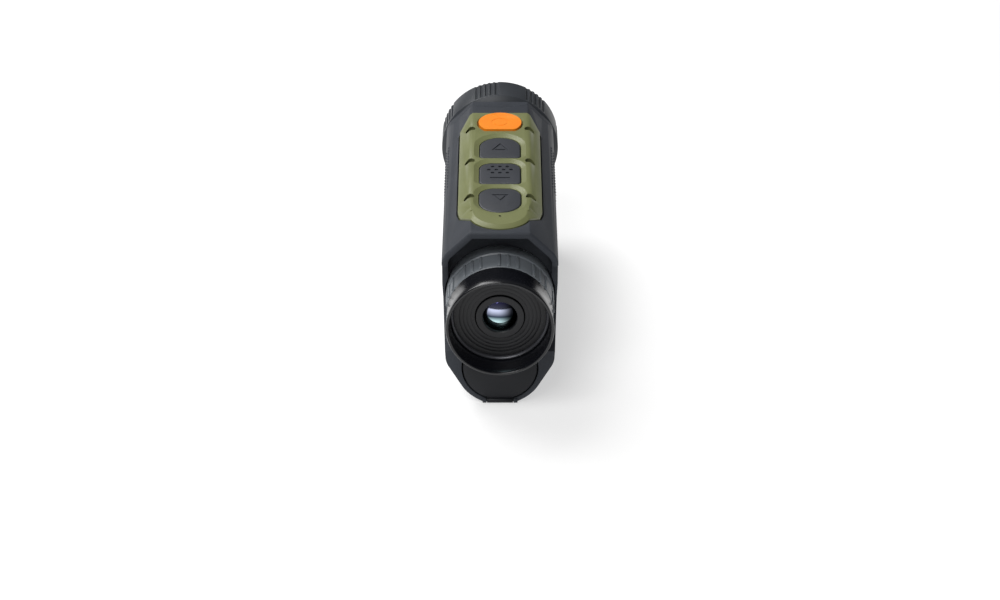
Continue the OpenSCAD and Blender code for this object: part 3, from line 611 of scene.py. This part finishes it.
def makeMainHousing():
    h = housing
    body = sectionBlock("mainHousing", h["rear"], h["seam"])
    combine(body, rearSpace())
    bevelEdges(body, rimEdge, h["rimRound"], 5)
    combine(body, rearRecess())
    pocketStart = (0, -75, bodySizes["bellyCentre"])
    combine(body, rod("pocket", h["pocket"], pocketStart, 75 + h["pocketFloor"], steps=128))
    # gap for the hinge knuckle, and the two ears
    reach = h["knuckleHalf"] + 0.2
    combine(body, rod("gap", h["knuckle"] + 0.25, (-reach, h["rear"], h["hingeHeight"]), 2 * reach, "X", 48))
    for side in (-1, 1):
        start = reach if side > 0 else -h["earEnd"]
        ear = rod("ear", h["knuckle"], (start, h["rear"], h["hingeHeight"]), h["earEnd"] - reach, "X", 48)
        roundAll(ear, 0.2, 2)
        combine(body, ear, "UNION")
    # inside: battery bore, cavity, barrel seat and the front seam
    combine(body, rod("bore", h["bore"], (0, -62, h["boreHeight"]), 71))
    combine(body, sectionBlock("cavity", h["cavity"], h["seam"] + 5, h["wall"]))
    cone = seamCone(0.12)
    combine(cone, block("coneSide", (-aside, 50, 26), (aside, 64, beyond)), "INTERSECT")
    combine(body, cone)
    combine(body, rod("barrelSeat", 17, (0, -48, eyeZ), 6))
    # pocket of the button panel, window under the keys and the holes beside them
    p = panel
    pocket = sectionBlock("panelPocket", p["rear"], p["front"], -3, floorCut=False)
    under = sectionBlock("panelFloor", p["rear"] - 2, p["front"] + 2, p["sunk"] + 0.05, floorCut=False)
    combine(pocket, under)
    combine(pocket, plate("pocketPlan", panelPlan(p["pocketGap"]), 60, 80), "INTERSECT")
    combine(body, pocket)
    wide, rear, front = p["window"]
    combine(body, block("window", (-wide, rear, 66), (wide, front, 75)))
    for y in p["moonRows"]:
        for side in (1, -1):
            combine(body, moonCutter(side, y, 1))
    # charging port under its cover on the right side
    c = coverSizes
    combine(body, coverSpace(0.25))
    portLow = (18, c["middle"] - c["holeHalf"], c["holeLow"])
    combine(body, block("portHole", portLow, (24, c["middle"] + c["holeHalf"], c["holeHigh"])))
    gripDots(body)
    mergeAll(body, 0.004)
    roundAll(body, 0.22, 2, 38)
    return body


# front shell, with the rangefinder pod

pod = {"front": 66, "top": 23.8, "collar": 59, "gap": 0.05, "barrel": 19.15, "screw": 2.0}
screwPlaces = [(17, 64.2), (-17, 64.2), (18.4, 28.5), (-18.4, 28.5)]


def makeFrontHousing():
    shell = sectionBlock("frontHousing", housing["seam"] + pod["gap"], pod["collar"])
    nose = sectionBlock("nose", housing["seam"] + pod["gap"], pod["front"])
    bisect(nose, (0, 0, pod["top"]), (0, 0, 1))
    bevelEdges(nose, lambda e: all(abs(v.co.z - pod["top"]) < 0.01 for v in e.verts), 0.6, 3)
    combine(shell, nose, "UNION")
    wedge = sectionBlock("wedge", 52, housing["seam"] + 0.5)
    cone = seamCone(-0.1)
    combine(cone, block("coneSide", (-aside, 50, 26.1), (aside, 64, beyond)), "INTERSECT")
    combine(wedge, cone, "INTERSECT")
    combine(shell, wedge, "UNION")
    combine(shell, rod("barrelBore", pod["barrel"], (0, 49, objectiveZ), 12, steps=128))
    hollow = sectionBlock("hollow", 50, pod["front"] + 1, housing["wall"])
    bisect(hollow, (0, 0, pod["top"] - housing["wall"]), (0, 0, 1))
    combine(shell, hollow)
    for x, z in screwPlaces:
        combine(shell, rod("screwSeat", pod["screw"], (x, pod["collar"] - 1.1, z), 2, steps=32))
        combine(shell, rod("screwHole", 1.15, (x, 50, z), 10, steps=32))
    return shell


def buildShells():
    body = makeMainHousing()
    smooth(finishPiece(body, shellNylon, "housing", "shell", "main_housing"))
    print("main housing", len(body.data.polygons))
    shell = makeFrontHousing()
    smooth(finishPiece(shell, shellNylon, "housing", "shell", "front_housing"))
    print("front housing", len(shell.data.polygons))


# focus ring

focus = {
    "rear": 59.5, "front": 76, "radius": 25.15, "chamfer": 1.8, "rearRadius": 22.9, "frontEdge": (1.2, 0.9),
    "bore": 22.43, "lip": 19.6, "grooveWide": 1.25, "grooveDeep": 0.65, "grooveStart": 62.5,
    "groups": 7, "perGroup": 5, "pitch": 5, "first": 38,
}


def groupAngles(sizes):  # turns of the grooves or ribs, which stand in groups round a ring
    count = sizes["perGroup"]
    starts = [sizes["first"] + 360 / sizes["groups"] * group for group in range(sizes["groups"])]
    return [start + sizes["pitch"] * (k - (count - 1) / 2) for start in starts for k in range(count)]


def buildFocusRing():
    f = focus
    back, down = f["frontEdge"]
    profile = [
        (f["bore"], f["rear"]), (f["rearRadius"], f["rear"]), (f["radius"], f["rear"] + f["chamfer"]),
        (f["radius"], f["front"] - back), (f["radius"] - down, f["front"]), (f["lip"] + 1, f["front"]),
        (f["lip"], f["front"] - 1.6), (f["lip"], f["front"] - 2.4), (f["bore"], f["front"] - 3),
    ]
    ring = lathe("focusRing", profile, objectiveZ, steps=168)
    low = (-f["grooveWide"] / 2, f["grooveStart"], objectiveZ + f["radius"] - f["grooveDeep"])
    high = (f["grooveWide"] / 2, f["front"] + 2, objectiveZ + f["radius"] + 3)
    model = block("groove", low, high)
    bevelEdges(model, lambda e: all(v.co.z < objectiveZ + f["radius"] for v in e.verts), 0.3, 3)
    cutters = [turnAbout(copyPiece(model, "groove"), angle, objectiveZ) for angle in groupAngles(f)]
    bpy.data.objects.remove(model, do_unlink=True)
    combine(ring, joinAll(cutters, "grooves"))
    mergeAll(ring)
    roundAll(ring, 0.18, 2)
    smooth(finishPiece(ring, ringNylon, "focus", "ring", "focus_ring"))
    print("focus ring", len(ring.data.polygons))


# dioptre ring

dioptre = {
    "rear": -63.5, "front": -46.9, "base": 21, "band": 21.5, "bandRear": -53.4, "bore": 18.38, "rib": 1.2,
    "ribRear": -63, "ribFront": -54, "groups": 9, "perGroup": 3, "pitch": 10, "first": 9,
}


def buildDioptreRing():
    d = dioptre
    profile = [
        (d["bore"], d["rear"]), (d["base"] - 0.3, d["rear"]), (d["base"], d["rear"] + 0.4),
        (d["base"], d["bandRear"] - 0.4), (d["band"], d["bandRear"]),
        (d["band"], d["front"] - 0.4), (d["band"] - 0.4, d["front"]), (d["bore"], d["front"]),
    ]
    ring = lathe("dioptreRing", profile, eyeZ, steps=168)
    low = (-d["rib"] / 2, d["ribRear"], eyeZ + d["base"] - 0.6)
    model = block("rib", low, (d["rib"] / 2, d["ribFront"], eyeZ + d["band"]))
    ribTop = eyeZ + d["band"] - 0.001
    bevelEdges(model, lambda e: any(v.co.z > ribTop for v in e.verts), 0.25, 2)
    ribs = [turnAbout(copyPiece(model, "rib"), angle, eyeZ) for angle in groupAngles(d)]
    bpy.data.objects.remove(model, do_unlink=True)
    combine(ring, joinAll(ribs, "ribs"), "UNION")
    mergeAll(ring)
    roundAll(ring, 0.12, 2)
    # the ring's lighter nylon is painted light, standing in for the light its recess keeps off
    smooth(finishPiece(ring, dioptreNylonPaintedLight, "dioptre", "ring", "dioptre_ring"))
    print("dioptre ring", len(ring.data.polygons))


# olive button panel


def cornerCutter(side):  # the two slopes that fold the panel down at its rear corners
    top = panel["top"]
    fold = Vector((side * 11.5, -38, top))
    foldEnd = Vector((side * 17, -29.5, 69.35))
    low = Vector((side * 16, -37.8, 68.85))
    tail = Vector((side * 11.6, -49, 73.0))
    cutters = []
    for third, near, far in ((foldEnd, -38, -18), (tail, -58, -37.99)):
        normal = (low - fold).cross(third - fold).normalized()
        if normal.z < 0:
            normal = -normal
        wide = (5, 30) if side > 0 else (-30, -5)
        cutter = block("cornerCutter", (wide[0], near, 58), (wide[1], far, 80))
        bisect(cutter, fold, -normal)
        cutters.append(cutter)
    return cutters


def chinKeeper():  # cone that gives the chin its sloping rear edge
    p = panel
    deselectAll()
    slopeRun, slopeRise = 2.2, 1.2
    wide = p["chinRadius"] + 0.05
    bpy.ops.mesh.primitive_cone_add(
        vertices=128, radius1=wide + slopeRun, radius2=wide - 2 * slopeRun, depth=3 * slopeRise,
        location=(0, p["chinCentre"], p["top"] - slopeRise * 0.5))
    cone = settle("chinCone")
    combine(cone, block("keepFront", (-30, p["chinCentre"] + 1, 50), (30, 60, 80)), "UNION")
    combine(cone, block("keepLow", (-30, -60, 55), (30, 60, p["top"] - slopeRise - 0.1)), "UNION")
    return cone


def buildPanel():
    p = panel
    skin = sectionBlock("buttonPanel", p["rear"], p["front"], -p["skin"], floorCut=False)
    combine(skin, sectionBlock("panelCore", p["rear"] - 2, p["front"] + 2, p["sunk"], floorCut=False))
    combine(skin, plate("panelOutline", panelPlan(-p["edgeGap"]), 60, 76), "INTERSECT")
    for side in (1, -1):
        for cutter in cornerCutter(side):
            combine(skin, cutter)
    combine(skin, chinKeeper(), "INTERSECT")
    for name, keyOutline in keyPlans().items():
        low, wide = p["powerDish"] if name == "powerKey" else p["keyDish"]
        combine(skin, tapered("dish", keyOutline, low, wide, p["top"] - p["dish"], p["top"] + 0.02))
        combine(skin, plate("hole", grow(keyOutline, keys["gap"]), 60, 80))
    combine(skin, rod("pinHole", p["pinRadius"] + 0.05, (0, p["pinY"], 60), 20, "Z", 24))
    for y in p["moonRows"]:
        for side in (1, -1):
            combine(skin, moonCutter(side, y))
            hollow = moonCutter(side, y, 0.4)
            under = sectionBlock("moonUnder", y - 6, y + 6, p["lip"] - p["skin"], floorCut=False)
            combine(hollow, under, "INTERSECT")
            combine(skin, hollow)
    mergeAll(skin)
    roundAll(skin, p["edge"], 3, 24)
    smooth(finishPiece(skin, oliveCoat, "housing", "panel", "button_bezel"))
    print("button panel", len(skin.data.polygons))


marks = {
    "upKey": ([(-3.4, 13), (3.4, 13), (0, 19)], [(-2.1, 13.75), (2.1, 13.75), (0, 17.4)]),
    "downKey": ([(3.4, -26), (-3.4, -26), (0, -32)], [(2.1, -26.75), (-2.1, -26.75), (0, -30.4)]),
    "deep": 0.3, "dotRows": (3, 4, 3), "dotRadius": 0.75, "dotDeep": 0.5, "dotPitch": (3, 2.7),
    "dotMiddle": -4.6, "bar": (4, -12, -11.2), "ring": (3.6, 2.9), "ringDeep": 0.12,
}


def powerCorner(edge):  # the two upright edges beside the flat rear of the power key
    upright = abs(edge.verts[0].co.z - edge.verts[1].co.z) > 0.5
    return upright and edge.verts[0].co.y < keys["powerFlat"] + 0.1 and abs(edge.verts[0].co.x) > 5


def cutMarks(cap, name, top):  # shallow signs in a key's face
    m = marks
    if name in m:
        outer, inner = m[name]
        sign = plate("sign", outer, top - m["deep"], top + 1)
        combine(sign, plate("signInside", inner, top - 1, top + 2))
        combine(cap, sign)
    if name == "modeKey":
        for row, count in enumerate(m["dotRows"], -1):
            for i in range(count):
                x = (i - (count - 1) / 2) * m["dotPitch"][0]
                y = m["dotMiddle"] + m["dotPitch"][1] * row
                combine(cap, rod("dot", m["dotRadius"], (x, y, top - m["dotDeep"]), 2, "Z", 20))
        half, rear, front = m["bar"]
        combine(cap, block("bar", (-half, rear, top - m["deep"]), (half, front, top + 1)))
    if name == "powerKey":
        outer, inner = m["ring"]
        ring = rod("ringMark", outer, (0, keys["powerY"], top - m["ringDeep"]), 2, "Z", 48)
        combine(ring, rod("ringCore", inner, (0, keys["powerY"], top - 1), 4, "Z", 48))
        combine(cap, ring)


def buildKeys():
    k = keys
    for name, plan in keyPlans().items():
        isPower = name == "powerKey"
        top = k["powerTop"] if isPower else k["top"]
        cap = plate(name, plan, k["low"], top)
        flange = plate("flange", grow(plan, k["flange"]), k["low"], k["low"] + k["flangeHigh"])
        combine(cap, flange, "UNION")
        if isPower:
            bevelEdges(cap, powerCorner, k["powerCorner"], 6)
        rim = k["powerRim"] if isPower else k["rim"]
        bevelEdges(cap, lambda e: all(abs(v.co.z - top) < 0.001 for v in e.verts), rim, 5)
        cutMarks(cap, name, top)
        material = orangeSilicone if isPower else greySilicone
        slot = "power_key" if isPower else "key"
        body = name.removesuffix("Key")
        smooth(finishPiece(cap, material, body, slot, body + "_button"), 40)
        print(name, len(cap.data.polygons))

# eyepiece


def turnedPiece(name, profile, axisZ, soft, material, body, slot, *stands, axisX=0, steps=160):
    piece = lathe(name, profile, axisZ, axisX, steps)
    if soft:
        roundAll(piece, soft, 3, 25)
    smooth(finishPiece(piece, material, body, slot, *stands))
    print(name, len(piece.data.polygons))
    return piece


cup = {"front": -63.55, "rear": -76, "radius": 21.2, "inner": 19.45}
baffle = {"rear": -66.2, "bore": 9.95, "grooves": 4, "first": 11.4, "pitch": 1.5, "wide": 0.5, "deep": 0.08}


def buildEyepiece():
    rear, rim = cup["rear"], cup["radius"]
    turnedPiece("rubberCup", [
        (cup["inner"], cup["front"]), (20.8, cup["front"]), (20.7, -64.4), (20.5, -66.2),
        (20.55, -68.5), (20.8, -71.5), (rim, rear + 0.6), (rim - 0.12, rear + 0.22),
        (rim - 0.35, rear), (rim - 0.95, rear), (rim - 1.15, rear + 0.15), (rim - 1.3, rear + 0.5),
        (19.4, rear + 3), (cup["inner"], rear + 5),
    ], eyeZ, 0.12, cupRubber, "dioptre", "eyecup", "eyecup")
    # the retainer's pale grey is a painted highlight along its inner edge
    turnedPiece("eyecupRetainer", [
        (18.2, cup["front"]), (18.2, -66.4), (18.35, -66.9), (18.7, -67.2), (19.05, -67.2),
        (19.4, -66.8), (19.4, cup["front"]),
    ], eyeZ, 0, anodisedPaintedHighlight, "dioptre", "anodised", "eyecup_retainer")
    b = baffle
    disc = [(b["bore"], b["rear"])]
    for k in range(b["grooves"]):
        start = b["first"] + b["pitch"] * k
        groove = (start + b["wide"] / 2, b["rear"] + b["deep"])
        disc += [(start, b["rear"]), groove, (start + b["wide"], b["rear"])]
    disc += [(18.1, b["rear"]), (18.1, -62.6), (17, -62.6), (17, -64.6), (b["bore"], -64.6)]
    turnedPiece("baffleDisc", disc, eyeZ, 0, blackAnodised, "housing", "anodised", "baffle_disc")
    turnedPiece("lensBezel", [
        (6.7, -66.6), (7, -66.9), (9.4, -66.9), (9.6, -66.7), (9.6, -65.95), (8.75, -65.95),
        (8.75, -65.25), (6.7, -65.25),
    ], eyeZ, 0.1, blackAnodised, "ocular", "anodised", "lens_bezel")

# eye lens, front lens and its retainer


def lensProfile(radius, rear, rearCurve, front, frontCurve, steps=14):
    def sag(reach, curve):
        return math.copysign(abs(curve) - math.sqrt(curve * curve - reach * reach), curve)

    reaches = [radius * i / steps for i in range(steps + 1)]
    back = [(reach, rear + sag(reach, rearCurve)) for reach in reaches]
    return back + [(reach, front - sag(reach, frontCurve)) for reach in reversed(reaches)]


def buildLenses():
    turnedPiece("eyeLens", lensProfile(8.65, -66.35, 12, -61.35, 300), eyeZ, 0, paintedGlintGlass,
                "ocular", "coated_glass", "eye_lens")
    turnedPiece("frontLens", lensProfile(18.35, 65.2, -70, 68.4, 55, 20), objectiveZ, 0, germaniumGlass,
                "lens_carriage", "germanium", "front_lens")
    turnedPiece("lensRetainer", [
        (17.6, 65.65), (18.4, 65.65), (18.4, 67.35), (18.2, 67.55), (17.9, 67.55), (17.6, 67.2),
    ], objectiveZ, 0, blackAnodised, "lens_carriage", "anodised", "lens_retainer")


# rangefinder face and windows

face = {
    "rear": 66.05, "front": 67.5, "inset": 0.4, "top": 23.4, "windowZ": 13.6,
    "windows": (
        ("emitterGlass", "emitter_window", -7.6, 5.15), ("receiverGlass", "receiver_window", 7.6, 6.65),
    ),
}


def buildRangefinder():
    f = face
    cover = sectionBlock("rangefinderFace", f["rear"], f["front"], f["inset"])
    combine(cover, block("faceTop", (-aside, 60, 0), (aside, 70, f["top"])), "INTERSECT")
    for name, node, x, radius in f["windows"]:
        combine(cover, rod("windowHole", radius + 0.1, (x, 60, f["windowZ"]), 20, steps=64))
        flare = [(0, 66.8), (radius + 0.1, 66.8), (radius + 0.9, 67.6), (0, 67.6)]
        combine(cover, lathe("windowFlare", flare, f["windowZ"], x, 64))
    roundAll(cover, 0.2, 2, 40)
    # the face shares the door's nylon, painted darker as shade
    smooth(finishPiece(cover, doorNylonPaintedShade, "housing", "face", "rangefinder_face"))
    # the windows take the same glass, with its painted glints
    for name, node, x, radius in f["windows"]:
        glass = [(0, 66.1), (radius - 0.05, 66.1), (radius - 0.05, 66.9), (radius - 0.25, 67.08), (0, 67.08)]
        turnedPiece(name, glass, f["windowZ"], 0, paintedGlintGlass, "housing", "coated_glass", node,
                    axisX=x, steps=64)

# battery door and port cover

door = {"radius": 14.7, "arc": 22.35, "rear": -65.6, "front": -62.8, "edge": 0.3}


def buildDoor():
    d, h = door, housing
    half, reach = h["knuckleHalf"], h["earEnd"] + 0.3
    start = (0, d["rear"], bodySizes["bellyCentre"])
    leaf = rod("batteryDoor", d["radius"], start, d["front"] - d["rear"], steps=128)
    combine(leaf, rod("doorArc", d["arc"], (0, -70, eyeZ), 12, steps=128))
    roundAll(leaf, d["edge"], 3, 40)
    gapStart = (-reach, d["rear"], h["hingeHeight"])
    combine(leaf, rod("earGap", h["knuckle"] + 0.25, gapStart, 2 * reach, "X", 48))
    combine(leaf, block("hingeWeb", (-half, d["rear"], 2), (half, d["rear"] + 1.4, 4)), "UNION")
    knuckle = rod("knuckle", h["knuckle"], (-half, d["rear"], h["hingeHeight"]), 2 * half, "X", 48)
    roundAll(knuckle, 0.2, 2)
    combine(leaf, knuckle, "UNION")
    combine(leaf, rod("pinBore", 0.55, (-20, d["rear"], h["hingeHeight"]), 40, "X", 24))
    # the door's darker nylon is painted shade
    smooth(finishPiece(leaf, doorNylonPaintedShade, "door", "door", "battery_door"))
    print("battery door", len(leaf.data.polygons))


def buildPortCover():
    c = coverSizes
    skin = coverSpace(0)
    mergeAll(skin, 0.004)
    roundAll(skin, 0.25, 2, 40)
    plugLow = (19.8, c["middle"] - c["plugHalf"], c["plugLow"])
    plug = block("coverPlug", plugLow, (21.4, c["middle"] + c["plugHalf"], c["plugHigh"]))
    combine(skin, plug, "UNION")
    for k in range(c["ridges"]):  # thumb ridges
        place = (22.35, c["middle"] - 4, c["ridgeLow"] + c["ridgePitch"] * k)
        ridge = rod("ridge", c["ridgeRadius"], place, 8, "Y", 16)
        roundAll(ridge, 0.15, 2)
        combine(skin, ridge, "UNION")
    smooth(finishPiece(skin, cupRubber, "port_cover", "eyecup", "usb_cover"))
    print("port cover", len(skin.data.polygons))

# looks of the engineering parts that stay shown

looks = {
    # bright turned steel with fine tool marks, for screws, pins, switches and the port
    "steel": grained("turned stainless steel", "#8d8f92", "#77797c", 0.1, 0.32, 0.2, {"Metallic": 1.0}),
    # smoked clear plastic that reads nearly black until the lamp below it is on
    "clear": grained("smoked clear polycarbonate", "#0c0d0f", "#08090a", 0.5, 0.15, 0.05),
    # solder mask over the board's weave: glossy green
    "board": grained("green solder mask", "#1d5a34", "#174a2a", 0.4, 0.35, 0.2),
    # turned brass with a slightly dull skin
    "brass": grained("turned brass", "#a88a4a", "#94783f", 0.12, 0.34, 0.2, {"Metallic": 1.0}),
    # plain moulded plastic inside, dark and left a little glossy
    "inner_plastic": grained("moulded black plastic", "#26282b", "#1f2123", 0.3, 0.5, 0.2),
    "case": grained("moulded dark case plastic", "#2b2d30", "#242629", 0.3, 0.5, 0.2),
    # shrunk film on the cell: smooth and shiny
    "cell_wrap": grained("shrunk film wrap", "#2d5a8a", "#274f7a", 1.0, 0.25, 0.05),
    # thin gold over copper: warm and bright
    "gold": grained("gold plated copper", "#b8934a", "#a9853f", 0.1, 0.28, 0.1, {"Metallic": 1.0}),
    # moulded epoxy: a dusty matte black
    "chip": grained("moulded epoxy", "#1b1c1e", "#151618", 0.15, 0.6, 0.3),
    # stamped aluminium: pale and slightly brushed
    "spreader": grained("stamped aluminium", "#9a9c9e", "#8b8d90", 0.15, 0.38, 0.2, {"Metallic": 1.0}),
    # etched polyimide: amber and a little glossy
    "ribbon": grained("etched polyimide ribbon", "#8a5a1f", "#7a4f1b", 0.5, 0.35, 0.1),
    # moulded seal rubber: a dull dark red
    "seal": grained("moulded seal rubber", "#5a2320", "#4c1d1b", 0.25, 0.6, 0.2),
    # display glass, switched off: a black mirror
    "display": grained("black display glass", "#08090b", "#050607", 0.5, 0.08, 0.02),
}


def dressNodes():
    shared = {
        "shell": shellNylon, "ring": ringNylon, "door": doorNylonPaintedShade, "face": doorNylonPaintedShade, "panel": oliveCoat,
        "power_key": orangeSilicone, "key": greySilicone, "eyecup": cupRubber, "anodised": blackAnodised,
        "coated_glass": paintedGlintGlass, "germanium": germaniumGlass,
    }
    shared.update(looks)
    for part in frame["record"]["subparts"]:
        node = nodes[part["node"]]
        look = shared[part["material_slot"]]
        if part["node"] == "door_hinge_pin":  # blackened, so it does not glint in the hinge's gaps
            look = blackAnodised
        node.data.materials.clear()
        node.data.materials.append(look)

buildShells()
buildFocusRing()
buildPanel()
buildKeys()
buildDioptreRing()
buildEyepiece()
buildLenses()
buildRangefinder()
buildDoor()
buildPortCover()
dressNodes()

# camera, light and floor

view = {"place": (0, -0.9081, 0.5418), "tilt": 59.6, "lens": 90}


def addCamera():
    deselectAll()
    bpy.ops.object.camera_add(location=view["place"], rotation=(math.radians(view["tilt"]), 0, 0))
    camera = bpy.context.object
    camera.name = "camera"
    camera.data.lens = view["lens"]
    camera.data.sensor_width = 36
    bpy.context.scene.camera = camera


def softLight(name, place, aim, size, power, colour="#ffffff"):
    deselectAll()
    bpy.ops.object.light_add(type="AREA", location=place)
    lamp = bpy.context.object
    lamp.name = name
    lamp.data.shape = "RECTANGLE"
    lamp.data.size, lamp.data.size_y = size
    lamp.data.energy = power
    lamp.data.color = linear(colour)[:3]
    lamp.rotation_euler = (Vector(aim) - Vector(place)).to_track_quat("-Z", "Y").to_euler()
    return lamp


studio = {
    "floorSize": 6, "floorDrop": 0.0002, "paper": "#bdbdbd", "glow": 0.55, "sky": 0.1,
    "lights": (  # name, place, aim, size and power
        ("keyLight", (-0.55, 0.55, 1.0), (0, 0, 0.03), (0.9, 0.9), 15),
        ("topLight", (-0.3, -0.55, 0.95), (0, 0, 0.03), (0.6, 0.4), 6),
        ("fillLight", (-0.3, -0.9, 0.62), (0, -0.06, 0.05), (0.35, 0.3), 1.2),
    ),
}


def addStudio():
    s = studio
    deselectAll()
    bpy.ops.mesh.primitive_grid_add(
        x_subdivisions=2, y_subdivisions=2, size=s["floorSize"], location=(0, 0, -s["floorDrop"]))
    floor = settle("floor")
    # matte white paper, lit a little from within so that the shadows on it stay pale
    material, shader = newMaterial("matte white paper", {
        "Base Color": linear(s["paper"]), "Roughness": 0.9,
        "Emission Color": linear("#ffffff"), "Emission Strength": s["glow"],
    })
    floor.data.materials.append(material)
    for name, place, aim, size, power in s["lights"]:
        softLight(name, place, aim, size, power)
    world = bpy.data.worlds.new("studio")
    world.use_nodes = True
    background = world.node_tree.nodes["Background"]
    background.inputs["Color"].default_value = linear("#ffffff")
    background.inputs["Strength"].default_value = s["sky"]
    bpy.context.scene.world = world
    bpy.context.scene.view_settings.view_transform = "Standard"

addCamera()
addStudio()
